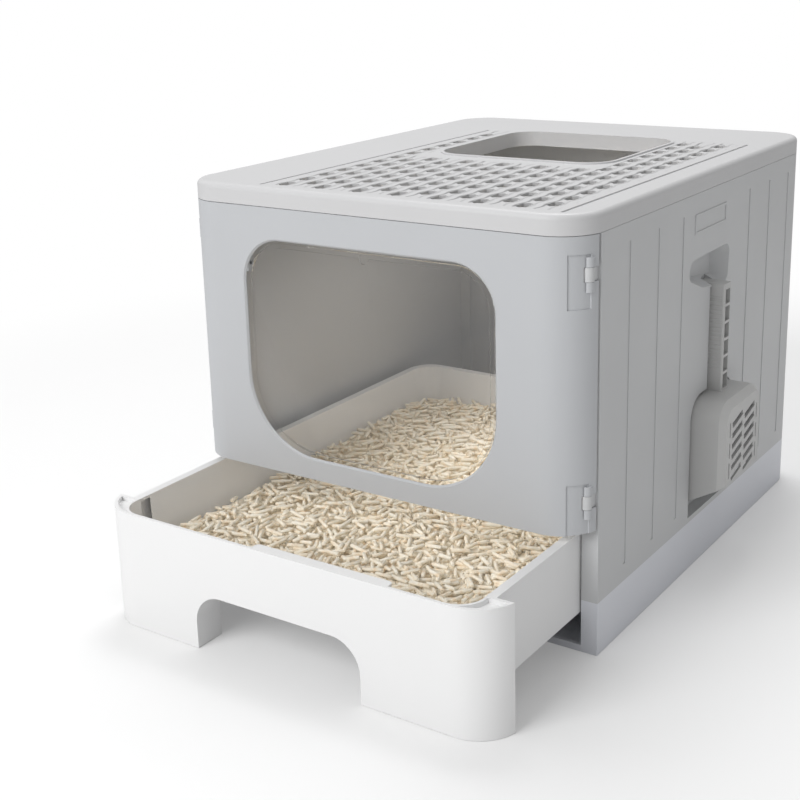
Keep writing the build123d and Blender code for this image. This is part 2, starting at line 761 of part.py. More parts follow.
with BuildPart() as scoop:
    with BuildSketch(Plane.YZ.offset(scoop_x0)):
        scoop_head(0)
    extrude(amount=scoop_depth)
    outer_face = faces().sort_by(Axis.X)[-1]
    chamfer(outer_face.edges() - outer_face.edges().group_by(Axis.Z)[0], scoop_edge)
    # Hollow, open at the mouth and narrowing where the outer edges are bevelled.
    for hollow_x, hollow_l, taper in (
        (scoop_x0, scoop_depth - scoop_edge, 0),
        (scoop_x1 - scoop_edge, scoop_edge - scoop_t, 45),
    ):
        with BuildSketch(Plane.YZ.offset(hollow_x)):
            scoop_head(scoop_t)
            with Locations((scoop_y, scoop_z0)):
                Rectangle(scoop_w - 2 * scoop_t, 6 * scoop_t)
        extrude(amount=hollow_l, taper=taper, mode=Mode.SUBTRACT)
    # The mouth slants up towards the outer plate.
    with BuildSketch(Plane.XZ.offset(-scoop_y - scoop_w)):
        with BuildLine():
            Polyline(
                (scoop_x0 - 1, scoop_z0 - 1),
                (scoop_x0, scoop_z0),
                (scoop_x1, scoop_z0 + mouth_rise),
                (scoop_x1 + 1, scoop_z0 - 1),
                close=True,
            )
        make_face()
    extrude(amount=2 * scoop_w, mode=Mode.SUBTRACT)
    # Slots in the outer plate.
    with BuildSketch(Plane.YZ.offset(scoop_x1)):
        with Locations((scoop_y, head_slot_z)):
            with GridLocations(head_slot_w + 5, head_slot_pitch, 2, head_slot_rows):
                Rectangle(head_slot_w, head_slot_h, rotation=head_slot_tilt)
            with GridLocations(2 * head_slot_w + edge_slot_apart, edge_slot_pitch, 2, 3):
                Rectangle(edge_slot_w, edge_slot_l)
    extrude(amount=-scoop_t, mode=Mode.SUBTRACT)
    # Handle: a channel with cross webs, open outwards.
    with BuildSketch(Plane.XY.offset(scoop_z1 - scoop_t)):
        with Locations((handle_x0 + handle_depth / 2, scoop_y)):
            Rectangle(handle_depth, handle_w)
        fillet(vertices().group_by(Axis.X)[-1], 2.0)
    extrude(amount=handle_z1 - scoop_z1 + scoop_t)
    cell_l = (handle_z1 - hook_t - scoop_z1 - handle_web) / handle_cells
    with BuildSketch(Plane.YZ.offset(handle_x1)):
        with Locations((scoop_y, (scoop_z1 + handle_z1 - hook_t) / 2)):
            with GridLocations(1, cell_l, 1, handle_cells):
                Rectangle(handle_w - 2 * handle_web, cell_l - handle_web)
    extrude(amount=-(handle_depth - handle_web), mode=Mode.SUBTRACT)
    # Hook over the finger recess's floor.
    with BuildSketch(Plane.XY.offset(handle_z1 - hook_t)):
        with Locations((handle_x0 - hook_reach / 2 + 1, scoop_y)):
            Rectangle(hook_reach + 2, handle_w)
    extrude(amount=hook_t)
scoop.part.label = "scoop"

# ================================================================ files
parts = [
    base_tray.part,
    left_side_panel.part,
    right_side_panel.part,
    rear_panel.part,
    lid.part,
    front_door.part,
    *hinge_pins,
    door_flap.part,
    drawer.part,
    litter_fill.part,
    scoop.part,
]
for part in parts:
    export_step(part, f"parts/{part.label}.step")
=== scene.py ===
# %% [markdown]
# # A drawer litter box in Blender
# This lesson dresses a covered litter box that arrives as a set of CAD solids: a base, three
# walls, a slotted lid, a front door with a clear swing flap, a drawer and a scoop. The solids
# already have the right shapes and places, so most of the work is in their finishes, in the loose
# pellets that fill the drawer, in a few fine mouldings, and in a plain studio.

import math
import random

import bpy
from mathutils import Matrix, Vector


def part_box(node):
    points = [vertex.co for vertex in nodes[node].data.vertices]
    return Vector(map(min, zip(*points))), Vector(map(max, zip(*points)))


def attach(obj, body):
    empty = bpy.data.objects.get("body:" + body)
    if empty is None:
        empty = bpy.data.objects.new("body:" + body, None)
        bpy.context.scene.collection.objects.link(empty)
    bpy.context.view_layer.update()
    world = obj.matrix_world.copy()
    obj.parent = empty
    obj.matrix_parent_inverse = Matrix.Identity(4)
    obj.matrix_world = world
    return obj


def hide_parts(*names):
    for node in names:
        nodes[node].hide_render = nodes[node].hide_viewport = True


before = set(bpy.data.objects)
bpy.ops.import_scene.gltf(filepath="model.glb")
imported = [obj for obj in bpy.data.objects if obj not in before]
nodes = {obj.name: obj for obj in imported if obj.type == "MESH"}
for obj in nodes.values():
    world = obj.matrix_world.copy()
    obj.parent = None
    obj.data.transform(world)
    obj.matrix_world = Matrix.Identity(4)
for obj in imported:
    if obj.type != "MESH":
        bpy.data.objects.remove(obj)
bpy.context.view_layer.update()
print("nodes:", ", ".join(sorted(nodes)))

# %% [markdown]
# ## The camera
# The photograph was taken from the front right and a little above. Its lens and place were worked
# out from the straight edges of the box, so the numbers below are simply written down: where the
# camera stands, which way it looks, how far it leans, and its focal length in pixels of an 800
# pixel picture. A small downward shift of the lens keeps the box's upright edges nearly parallel,
# as a product photographer does, without tilting the camera further.

# %% Place the camera
PICTURE = 800
camera_place = Vector((0.6521, -1.1524, 0.5746))
camera_azimuth, camera_elevation, camera_lean = 34.634, 15.268, -1.594
focal_pixels = 1343.9


def camera_axes(azimuth, elevation, lean):
    """Right, up and back directions of a camera that looks from that side, in degrees."""
    a, e, r = (math.radians(v) for v in (azimuth, elevation, lean))
    back = Vector((math.sin(a) * math.cos(e), -math.cos(a) * math.cos(e), math.sin(e)))
    right = (-back).cross(Vector((0, 0, 1))).normalized()
    up = back.cross(right)
    return (
        right * math.cos(r) + up * math.sin(r),
        up * math.cos(r) - right * math.sin(r),
        back,
    )


camera_data = bpy.data.cameras.new("camera")
camera = bpy.data.objects.new("camera", camera_data)
bpy.context.scene.collection.objects.link(camera)
turn = Matrix(camera_axes(camera_azimuth, camera_elevation, camera_lean)).transposed().to_4x4()
camera.matrix_world = Matrix.Translation(camera_place) @ turn
camera_data.sensor_width = 36
camera_data.lens = focal_pixels / PICTURE * 36
camera_data.shift_y = -0.1
bpy.context.scene.camera = camera
print("lens in mm:", round(camera_data.lens, 1))

# %% [markdown]
# ## Colours
# Picture colours are written the way a screen shows them, and Blender's shaders want linear light,
# so a small helper turns one into the other. Every plastic of the box is a grey or a white with a
# different tint: the lid is the lightest grey, the walls and door are a cooler grey, the base is a
# touch bluer, and the drawer is white. The base's grey is also written paler than the walls',
# which
# is painted light: it makes up for the shade that the base stands in, so from behind the base
# reads paler than the walls.

# %% Colours of the plastics and the litter


def screen(r, g, b):
    """A colour as a screen shows it, 0 to 255, as linear light with full alpha."""
    channels = []
    for value in (r, g, b):
        c = value / 255
        channels.append(c / 12.92 if c <= 0.04045 else ((c + 0.055) / 1.055) ** 2.4)
    return (*channels, 1)


lid_grey = screen(205, 205, 206)
wall_grey = screen(204, 205, 206)
door_grey = screen(192, 194, 197)
# Painted light: the base's grey is written paler than the walls' to make up for the shade that the
# base stands in.
base_grey_painted_light = screen(228, 230, 236)
drawer_white = screen(238, 238, 238)
scoop_grey = screen(197, 197, 196)
# Painted light: the pellet tones are written paler than the straw to make up for the shade between
# the pellets.
pellet_tones_painted_light = (screen(254, 248, 234), screen(253, 242, 222), screen(246, 226, 198))
print("lid in linear light:", [round(c, 2) for c in lid_grey[:3]])

# %% [markdown]
# ## The moulded surface
# A moulded plastic wall isn't perfectly even. The mould is spark-eroded, which leaves a very fine
# grain that dulls the gloss, and the sheet has slow waves and slight changes of tone where it
# cooled. Several materials need that same effect, so it is one node group with its own sockets.
# The group gives a colour, a roughness and a normal, and each material keeps its own shader.

# %% Build the moulded surface group


def add_node(tree, kind, **settings):
    """A new node with some of its properties set."""
    node = tree.nodes.new(kind)
    for key, value in settings.items():
        setattr(node, key, value)
    return node


def moulded_surface():
    group = bpy.data.node_groups.new("moulded surface", "ShaderNodeTree")
    sockets = (
        ("Colour", "INPUT", "NodeSocketColor", None),
        ("Shade Colour", "INPUT", "NodeSocketColor", None),
        ("Grain Scale", "INPUT", "NodeSocketFloat", 900.0),
        ("Grain Depth", "INPUT", "NodeSocketFloat", 0.00005),
        ("Wave Depth", "INPUT", "NodeSocketFloat", 0.0004),
        ("Roughness", "INPUT", "NodeSocketFloat", 0.45),
        ("Colour", "OUTPUT", "NodeSocketColor", None),
        ("Roughness", "OUTPUT", "NodeSocketFloat", None),
        ("Normal", "OUTPUT", "NodeSocketVector", None),
    )
    for name, way, kind, value in sockets:
        socket = group.interface.new_socket(name, in_out=way, socket_type=kind)
        if value is not None:
            socket.default_value = value
    entry = add_node(group, "NodeGroupInput")
    leave = add_node(group, "NodeGroupOutput")
    place = add_node(group, "ShaderNodeTexCoord")
    clouds = add_node(group, "ShaderNodeTexNoise")
    clouds.inputs["Scale"].default_value = 9.0
    clouds.inputs["Detail"].default_value = 4.0
    grain = add_node(group, "ShaderNodeTexNoise")
    grain.inputs["Detail"].default_value = 2.0
    waves = add_node(group, "ShaderNodeTexNoise")
    waves.inputs["Scale"].default_value = 6.0
    waves.inputs["Detail"].default_value = 1.0
    tone = add_node(group, "ShaderNodeMix", data_type="RGBA")
    gloss = add_node(group, "ShaderNodeMapRange")
    gloss.inputs["From Min"].default_value = 0.3
    gloss.inputs["From Max"].default_value = 0.7
    softer = add_node(group, "ShaderNodeMath", operation="ADD")
    softer.inputs[1].default_value = 0.1
    fine = add_node(group, "ShaderNodeBump")
    broad = add_node(group, "ShaderNodeBump")
    link = group.links.new
    for texture in (clouds, grain, waves):
        link(place.outputs["Object"], texture.inputs["Vector"])
    link(entry.outputs["Grain Scale"], grain.inputs["Scale"])
    link(clouds.outputs["Fac"], tone.inputs["Factor"])
    link(entry.outputs["Colour"], tone.inputs["A"])
    link(entry.outputs["Shade Colour"], tone.inputs["B"])
    link(clouds.outputs["Fac"], gloss.inputs["Value"])
    link(entry.outputs["Roughness"], gloss.inputs["To Min"])
    link(entry.outputs["Roughness"], softer.inputs[0])
    link(softer.outputs["Value"], gloss.inputs["To Max"])
    link(waves.outputs["Fac"], broad.inputs["Height"])
    link(entry.outputs["Wave Depth"], broad.inputs["Distance"])
    link(grain.outputs["Fac"], fine.inputs["Height"])
    link(entry.outputs["Grain Depth"], fine.inputs["Distance"])
    link(broad.outputs["Normal"], fine.inputs["Normal"])
    link(tone.outputs["Result"], leave.inputs["Colour"])
    link(gloss.outputs["Result"], leave.inputs["Roughness"])
    link(fine.outputs["Normal"], leave.inputs["Normal"])
    return group


moulded = moulded_surface()
print("group sockets:", len(moulded.interface.items_tree))

# %% [markdown]
# ## The plastics
# Each plastic is a Principled shader fed by the group. The drawer and the scoop come from polished
# moulds and shine a little more, the lid and walls are satin. The second colour of each is only a
# shade darker, so that the tone drifts slowly over a wall instead of lying dead flat.

# %% Make the plastics


def plastic(name, colour, roughness=0.42, darker=0.94, grain=0.00004, waves=0.0004):
    """A moulded plastic with that colour and finish."""
    material = bpy.data.materials.new(name)
    material.use_nodes = True
    tree = material.node_tree
    shader = tree.nodes["Principled BSDF"]
    surface = add_node(tree, "ShaderNodeGroup")
    surface.node_tree = moulded
    surface.inputs["Colour"].default_value = colour
    surface.inputs["Shade Colour"].default_value = (*[c * darker for c in colour[:3]], 1)
    surface.inputs["Roughness"].default_value = roughness
    surface.inputs["Grain Depth"].default_value = grain
    surface.inputs["Wave Depth"].default_value = waves
    tree.links.new(surface.outputs["Colour"], shader.inputs["Base Color"])
    tree.links.new(surface.outputs["Roughness"], shader.inputs["Roughness"])
    tree.links.new(surface.outputs["Normal"], shader.inputs["Normal"])
    shader.inputs["IOR"].default_value = 1.48
    material.diffuse_color = colour
    return material


lid_plastic = plastic("lid plastic", lid_grey)
wall_plastic = plastic("wall plastic", wall_grey)
door_plastic = plastic("door plastic", door_grey)
base_plastic_painted_light = plastic("base plastic with painted light", base_grey_painted_light)
drawer_plastic = plastic("drawer plastic", drawer_white, roughness=0.3, darker=0.97)
scoop_plastic = plastic("scoop plastic", scoop_grey, roughness=0.36)
print("plastics:", len(bpy.data.materials))

# %% [markdown]
# ## The lid's wavy bars
# The lid's slots stand in staggered columns, and every column lies in a shallow wavy groove, so
# that the bars between the columns look like soft ripples. The grooves are too shallow to need a
# mesh. A second node group works out a height from the place on the lid: how far a point is from
# its column's middle, against a half width that swells at each slot and narrows between slots. A
# mask keeps the relief inside the slotted field and clear of the entrance's smooth rim.

# %% Build the wavy relief group
COLUMN_PITCH, SLOT_PITCH = 0.020, 0.029
FIELD_LEFT, FIRST_SLOT_Y = -0.120, -0.2335


def wavy_relief():
    group = bpy.data.node_groups.new("wavy relief", "ShaderNodeTree")
    group.interface.new_socket("Height", in_out="OUTPUT", socket_type="NodeSocketFloat")
    leave = add_node(group, "NodeGroupOutput")
    place = add_node(group, "ShaderNodeTexCoord")
    split = add_node(group, "ShaderNodeSeparateXYZ")
    group.links.new(place.outputs["Object"], split.inputs["Vector"])

    def work(operation, *values):
        """One sum, where each value is a number or another sum's result."""
        node = add_node(group, "ShaderNodeMath", operation=operation)
        for socket, value in zip(node.inputs, values):
            if isinstance(value, (int, float)):
                socket.default_value = value
            else:
                group.links.new(value, socket)
        return node.outputs["Value"]

    def between(value, low, high):
        """One where the value lies between two limits, and nothing elsewhere."""
        return work("MULTIPLY", work("GREATER_THAN", value, low), work("LESS_THAN", value, high))

    x, y = split.outputs["X"], split.outputs["Y"]
    along = work("DIVIDE", work("SUBTRACT", x, FIELD_LEFT), COLUMN_PITCH)
    column = work("ROUND", along)
    off_middle = work("ABSOLUTE", work("SUBTRACT", along, column))
    stagger = work("MULTIPLY", work("MODULO", column, 2.0), 0.5)
    phase = work("ADD", work("DIVIDE", work("SUBTRACT", y, FIRST_SLOT_Y), SLOT_PITCH), stagger)
    swell = work("COSINE", work("MULTIPLY", work("SUBTRACT", phase, 0.5), 2 * math.pi))
    half_width = work("ADD", work("MULTIPLY", swell, 0.06), 0.29)
    slope = add_node(group, "ShaderNodeMapRange", interpolation_type="SMOOTHSTEP")
    group.links.new(work("SUBTRACT", off_middle, half_width), slope.inputs["Value"])
    slope.inputs["From Min"].default_value = -0.09
    slope.inputs["From Max"].default_value = 0.09
    field = work("MULTIPLY", between(x, -0.112, 0.172), between(y, -0.243, 0.150))
    rim = work("MULTIPLY", between(x, -0.087, 0.115), work("GREATER_THAN", y, -0.048))
    shown = work("MULTIPLY", field, work("SUBTRACT", 1.0, rim))
    lowered = work("MULTIPLY", work("SUBTRACT", 1.0, slope.outputs["Result"]), shown)
    group.links.new(work("SUBTRACT", 1.0, lowered), leave.inputs["Height"])
    return group


lid_tree = lid_plastic.node_tree
relief = add_node(lid_tree, "ShaderNodeGroup")
relief.node_tree = wavy_relief()
ripples = add_node(lid_tree, "ShaderNodeBump")
ripples.inputs["Distance"].default_value = 0.003
lid_surface = next(node for node in lid_tree.nodes if getattr(node, "node_tree", None) == moulded)
lid_tree.links.new(relief.outputs["Height"], ripples.inputs["Height"])
lid_tree.links.new(lid_surface.outputs["Normal"], ripples.inputs["Normal"])
lid_tree.links.new(ripples.outputs["Normal"], lid_tree.nodes["Principled BSDF"].inputs["Normal"])
print("relief sums:", len(relief.node_tree.nodes))

# %% [markdown]
# ## The clear flap
# The flap is a sheet of clear plastic about two millimetres thick, with a faint smoky tint. Glass
# in a renderer bends light, and a lamp's light doesn't find its way through it, so the cabin
# behind would be too dark. The sheet is therefore nearly see-through where it is looked at
# squarely, and turns into real clear plastic where it is seen at a slant. That lets the light in,
# and keeps the mirror gleam and the dark line at its edges.

# %% Make the clear plastic
flap_clear = bpy.data.materials.new("clear flap plastic")
flap_clear.use_nodes = True
flap_tree = flap_clear.node_tree
flap_shader = flap_tree.nodes["Principled BSDF"]
flap_shader.inputs["Transmission Weight"].default_value = 1.0
flap_shader.inputs["IOR"].default_value = 1.47
flap_clouds = add_node(flap_tree, "ShaderNodeTexNoise")
flap_clouds.inputs["Scale"].default_value = 14.0
flap_tint = add_node(flap_tree, "ShaderNodeMix", data_type="RGBA")
flap_tint.inputs["A"].default_value = screen(246, 243, 239)
flap_tint.inputs["B"].default_value = screen(240, 236, 231)
flap_place = add_node(flap_tree, "ShaderNodeTexCoord")
flap_gloss = add_node(flap_tree, "ShaderNodeMapRange")
flap_gloss.inputs["To Min"].default_value = 0.04
flap_gloss.inputs["To Max"].default_value = 0.12
flap_slant = add_node(flap_tree, "ShaderNodeLayerWeight")
flap_body = add_node(flap_tree, "ShaderNodeMapRange")
flap_body.inputs["From Min"].default_value = 0.3
flap_body.inputs["To Min"].default_value = 0.07
flap_body.inputs["To Max"].default_value = 0.95
for source, target in (
    (flap_place.outputs["Object"], flap_clouds.inputs["Vector"]),
    (flap_clouds.outputs["Fac"], flap_tint.inputs["Factor"]),
    (flap_clouds.outputs["Fac"], flap_gloss.inputs["Value"]),
    (flap_tint.outputs["Result"], flap_shader.inputs["Base Color"]),
    (flap_gloss.outputs["Result"], flap_shader.inputs["Roughness"]),
    (flap_slant.outputs["Facing"], flap_body.inputs["Value"]),
    (flap_body.outputs["Result"], flap_shader.inputs["Alpha"]),
):
    flap_tree.links.new(source, target)
print("flap nodes:", len(flap_tree.nodes))

# %% [markdown]
# ## Dressing the solids
# The CAD solids keep their shapes and get their finishes here.

# %% Dress the solids
finishes = {
    "lid": lid_plastic,
    "front_door": door_plastic,
    "left_side_panel": wall_plastic,
    "right_side_panel": wall_plastic,
    "rear_panel": wall_plastic,
    "door_hinge_pin_upper": door_plastic,
    "door_hinge_pin_lower": door_plastic,
    "base_tray": base_plastic_painted_light,
    "drawer": drawer_plastic,
    "scoop": scoop_plastic,
    "door_flap": flap_clear,
}


def dress(node, finish):
    """The node's faces all take that finish."""
    piece = nodes[node]
    piece.data.materials.clear()
    piece.data.materials.append(finish)


for node, finish in finishes.items():
    dress(node, finish)
print("dressed:", len(finishes))

# %% [markdown]
# ## Helper for new pieces
# New pieces are built as lists of points and faces in metres, in the same frame as the solids,
# and each rides on the body it belongs to.

# %% Make a mesh piece


def piece_from(name, points, faces, finish, body, smooth=False):
    """A mesh object from points and faces that rides on that body."""
    mesh = bpy.data.meshes.new(name)
    mesh.from_pydata([tuple(p) for p in points], [], [tuple(f) for f in faces])
    mesh.validate()
    mesh.materials.append(finish)
    if smooth:
        mesh.polygons.foreach_set("use_smooth", [True] * len(mesh.polygons))
    piece = bpy.data.objects.new(name, mesh)
    bpy.context.scene.collection.objects.link(piece)
    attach(piece, body)
    return piece


# %% [markdown]
# ## The litter
# The litter is loose wood pellets: short rods a little over three millimetres thick and eight to
# twenty long, in a straw colour. Their tones are written paler than the straw, which is painted
# light that makes up for the shade between the pellets. Scattering thousands of separate objects
# would be slow, so two meshes hold them all, one for the front of the drawer and one for the rest.
# The pile is higher towards the back right, where it was pushed, and a bed fills the space below
# so that no gap shows.

# %% Shape of the pile
TUB_CORNER = 0.022
HEAP_RISE, BANK_RISE = 0.0022, 0.018
BANK_FRONT_Y, BANK_SLOPE_Y = -0.17, 0.22
BANK_LEFT_X, BANK_SLOPE_X, BANK_LEFT_SHARE = -0.14, 0.26, 0.3

random.seed(11)
tub_low, tub_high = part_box("litter_fill")
pile_level = tub_high.z - 0.002
print("pile level in mm:", round(pile_level * 1000, 1))


def ease(value):
    """A smooth step from 0 to 1."""
    t = min(1.0, max(0.0, value))
    return t * t * (3 - 2 * t)


def pile_height(x, y):
    """Height of the pile's surface: slow heaps, and a bank towards the back right."""
    heap = math.sin(9 * x + 1.3) * math.cos(7 * y + 0.4) + 0.5 * math.sin(23 * x + 17 * y)
    to_right = ease((x - BANK_LEFT_X) / BANK_SLOPE_X)
    bank = ease((y - BANK_FRONT_Y) / BANK_SLOPE_Y)
    bank *= BANK_LEFT_SHARE + (1 - BANK_LEFT_SHARE) * to_right
    return pile_level + HEAP_RISE * heap + BANK_RISE * bank


def inside_tub(x, y, margin):
    """Whether a pellet's middle at that place is inside the tub's round-cornered outline."""
    half_w = tub_high.x - margin
    low_y, high_y = tub_low.y + margin, tub_high.y - margin
    if abs(x) > half_w or not low_y < y < high_y:
        return False
    dx = abs(x) - (half_w - TUB_CORNER)
    dy = max(low_y + TUB_CORNER - y, y - (high_y - TUB_CORNER))
    return dx <= 0 or dy <= 0 or math.hypot(dx, dy) < TUB_CORNER


# %% [markdown]
# ## Laying the pellets
# Pellets that were dropped at random would run through each other and look like chips. So they
# are laid in layers, each pellet as a round rod whose ends are a little narrower, the way a rolled
# and snapped pellet looks. Four rings of points along the rod are enough for that shape.

# %% Shape of one pellet
PELLET_SIDES = 7
PELLET_RINGS = ((-0.5, 0.75), (-0.46, 1.0), (0.46, 1.0), (0.5, 0.75))


def pellet(middle, along, radius, length, points, faces):
    """Adds one rod with softened ends to the lists."""
    across = along.orthogonal().normalized()
    third = along.cross(across)
    start = len(points)
    for step, grow in PELLET_RINGS:
        for side in range(PELLET_SIDES):
            angle = 2 * math.pi * side / PELLET_SIDES
            out = (across * math.cos(angle) + third * math.sin(angle)) * radius * grow
            points.append(middle + along * (step * length) + out)
    for ring in range(3):
        for side in range(PELLET_SIDES):
            after = (side + 1) % PELLET_SIDES
            a, b = start + ring * PELLET_SIDES + side, start + ring * PELLET_SIDES + after
            faces.append((a, b, b + PELLET_SIDES, a + PELLET_SIDES))
    faces.append([start + side for side in reversed(range(PELLET_SIDES))])
    faces.append([start + 3 * PELLET_SIDES + side for side in range(PELLET_SIDES)])


# %% [markdown]
# ## Which pellets stay
# The lowest layer is careless, because it only fills the gaps. In the ones above it a pellet is
# left out when it would cross another of its layer. To test that quickly, each laid pellet leaves
# a few spots in a coarse grid, and a new one only looks at the cells round its own spots. The top
# layer is thin again, a few pellets that lie loose on the rest.

# %% Lay the layers
SPOT_GAP = 0.0036
SPOTS_PER_PELLET = 5
PELLET_SHORTEST, PELLET_LONGEST = 0.008, 0.020
PELLET_USUAL, PELLET_SPREAD = 0.0148, 0.0032
PELLET_THIN_R, PELLET_THICK_R = 0.0016, 0.0019


def crosses(spots, grid):
    """Whether a spot comes too near one that is already in the grid."""
    for x, y in spots:
        column, row = int(x // SPOT_GAP), int(y // SPOT_GAP)
        for near in [(column + i, row + j) for i in (-1, 0, 1) for j in (-1, 0, 1)]:
            for other_x, other_y in grid.get(near, ()):
                if math.hypot(x - other_x, y - other_y) < SPOT_GAP:
                    return True
    return False


def lay(tries, lift, tilt, keep_apart):
    """One layer of pellets: middle, direction, radius and length of each."""
    grid, laid = {}, []
    for _ in range(tries):
        x = random.uniform(-tub_high.x, tub_high.x)
        y = random.uniform(tub_low.y, tub_high.y)
        length = random.gauss(PELLET_USUAL, PELLET_SPREAD)
        length = min(PELLET_LONGEST, max(PELLET_SHORTEST, length))
        if not inside_tub(x, y, 0.36 * length + 0.003):
            continue
        turn_angle = random.uniform(0, math.pi)
        ahead = (math.cos(turn_angle), math.sin(turn_angle))
        steps = [(i / 2 - 1) * 0.46 * length for i in range(SPOTS_PER_PELLET)]
        spots = [(x + ahead[0] * step, y + ahead[1] * step) for step in steps]
        if keep_apart:
            if crosses(spots, grid):
                continue
            for spot in spots:
                cell = (int(spot[0] // SPOT_GAP), int(spot[1] // SPOT_GAP))
                grid.setdefault(cell, []).append(spot)
        tip = random.gauss(0, tilt)
        along = Vector((ahead[0] * math.cos(tip), ahead[1] * math.cos(tip), math.sin(tip)))
        middle = Vector((x, y, pile_height(x, y) + lift + random.uniform(-0.0004, 0.0004)))
        radius = random.uniform(PELLET_THIN_R, PELLET_THICK_R)
        laid.append((middle, along, radius, length))
    return laid


layers = lay(2400, -0.0022, 0.1, False) + lay(20000, 0.0, 0.05, True)
layers += lay(20000, 0.0028, 0.07, True) + lay(1300, 0.0054, 0.1, True)
split_y = tub_low.y + 0.17
print("pellets laid:", len(layers))

# %% [markdown]
# ## The pellets' straw
# Pressed straw is matt and patchy: pale where the fibres lie bare, browner where they were burnt
# by the die. A patchy noise picks between three tones, and a very fine one roughens the surface.
# All three tones are written paler than the straw, painted light that makes up for the shade
# between the pellets.

# %% Make the straw and the pellet meshes
pellet_straw_painted_light = bpy.data.materials.new("pellet straw with painted light")
pellet_straw_painted_light.use_nodes = True
straw_tree = pellet_straw_painted_light.node_tree
straw_shader = straw_tree.nodes["Principled BSDF"]
straw_place = add_node(straw_tree, "ShaderNodeTexCoord")
straw_patches = add_node(straw_tree, "ShaderNodeTexNoise")
straw_patches.inputs["Scale"].default_value = 160.0
straw_patches.inputs["Detail"].default_value = 3.0
straw_ramp = add_node(straw_tree, "ShaderNodeValToRGB")
straw_ramp.color_ramp.elements[0].position = 0.3
straw_ramp.color_ramp.elements[0].color = pellet_tones_painted_light[2]
straw_ramp.color_ramp.elements[1].position = 0.62
straw_ramp.color_ramp.elements[1].color = pellet_tones_painted_light[0]
straw_middle = straw_ramp.color_ramp.elements.new(0.45)
straw_middle.color = pellet_tones_painted_light[1]
straw_fibre = add_node(straw_tree, "ShaderNodeTexNoise")
straw_fibre.inputs["Scale"].default_value = 1400.0
straw_bump = add_node(straw_tree, "ShaderNodeBump")
straw_bump.inputs["Distance"].default_value = 0.0003
straw_shader.inputs["Roughness"].default_value = 0.85
for source, target in (
    (straw_place.outputs["Object"], straw_patches.inputs["Vector"]),
    (straw_place.outputs["Object"], straw_fibre.inputs["Vector"]),
    (straw_patches.outputs["Fac"], straw_ramp.inputs["Fac"]),
    (straw_ramp.outputs["Color"], straw_shader.inputs["Base Color"]),
    (straw_fibre.outputs["Fac"], straw_bump.inputs["Height"]),
    (straw_bump.outputs["Normal"], straw_shader.inputs["Normal"]),
):
    straw_tree.links.new(source, target)

for name, front in (("litter_pellets_front", True), ("litter_pellets_rear", False)):
    points, faces = [], []
    for rod in layers:
        if (rod[0].y < split_y) == front:
            pellet(*rod, points, faces)
    heap = piece_from(name, points, faces, pellet_straw_painted_light, "drawer", smooth=True)
    heap.data.set_sharp_from_angle(angle=math.radians(50))
    print(name, "faces:", len(faces))

# %% [markdown]
# ## The bed under the pellets
# Between the laid pellets one would look through to the drawer's floor. A bed of the same straw
# lies just below their surface and hides that. It is one sheet of small squares that follows the
# pile's height and is drawn in at the tub's round corners, which costs far less than more pellets.

# %% Lay the bed under the pellets
BED_STEPS, BED_EDGE, BED_SUNK = 60, 0.001, 0.0025
bed_points, bed_faces = [], []
for row in range(BED_STEPS + 1):
    y = tub_low.y + (tub_high.y - tub_low.y) * row / BED_STEPS
    reach = tub_high.x - BED_EDGE
    for edge in (tub_low.y, tub_high.y):
        inward = TUB_CORNER - abs(y - edge)
        if inward > 0:
            reach = tub_high.x - BED_EDGE - TUB_CORNER + math.sqrt(TUB_CORNER**2 - inward**2)
    for column in range(BED_STEPS + 1):
        x = reach * (2 * column / BED_STEPS - 1)
        bed_points.append((x, y, pile_height(x, y) - BED_SUNK))
for row in range(BED_STEPS):
    for column in range(BED_STEPS):
        a = row * (BED_STEPS + 1) + column
        bed_faces.append((a, a + 1, a + BED_STEPS + 2, a + BED_STEPS + 1))
litter_bed = piece_from(
    "litter_bed_sheet", bed_points, bed_faces, pellet_straw_painted_light, "drawer", smooth=True
)
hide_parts("litter_fill")
print("bed faces:", len(bed_faces))

# %% [markdown]
# ## Ribs inside the rear wall
# Through the top entrance the rear wall shows broad upright ribs, which stiffen the large flat
# sheet. Each rib is a low raised panel with round corners and sloping sides, so it catches a thin
# line of light at its edge. All of them are one mesh that rides on the housing.

# %% Raise the ribs
wall_low, wall_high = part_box("rear_panel")
wall_thick = 0.0025
wall_inside_y = wall_high.y - wall_thick
rib_count, rib_sunk = 6, 0.0005
rib_pitch, rib_width, rib_height, rib_corner = 0.054, 0.026, 0.0016, 0.008
rib_bottom, rib_top = wall_low.z + 0.07, wall_high.z - 0.045


def round_corners(middle_x, low_z, high_z, width, radius):
    """Points round a rectangle with round corners, in the upright plane."""
    outline = []
    half = width / 2 - radius
    corners = (
        (middle_x + half, high_z - radius, 0),
        (middle_x - half, high_z - radius, 90),
        (middle_x - half, low_z + radius, 180),
        (middle_x + half, low_z + radius, 270),
    )
    for centre_x, centre_z, first in corners:
        for step in range(7):
            angle = math.radians(first + 15 * step)
            outline.append(
                (centre_x + radius * math.cos(angle), centre_z + radius * math.sin(angle))
            )
    return outline


rib_points, rib_faces = [], []
for rib in range(rib_count):
    middle_x = (rib - (rib_count - 1) / 2) * rib_pitch
    outer = round_corners(middle_x, rib_bottom, rib_top, rib_width, rib_corner)
    inner = round_corners(
        middle_x,
        rib_bottom + rib_height,
        rib_top - rib_height,
        rib_width - 2 * rib_height,
        rib_corner - rib_height,
    )
    start, count = len(rib_points), len(outer)
    rib_points += [(x, wall_inside_y + rib_sunk, z) for x, z in outer]
    rib_points += [(x, wall_inside_y - rib_height, z) for x, z in inner]
    for i in range(count):
        after = (i + 1) % count
        rib_faces.append((start + i, start + count + i, start + count + after, start + after))
    rib_faces.append([start + count + i for i in reversed(range(count))])
rear_ribs = piece_from("rear_wall_ribs", rib_points, rib_faces, wall_plastic, "housing")
print("ribs:", rib_count)

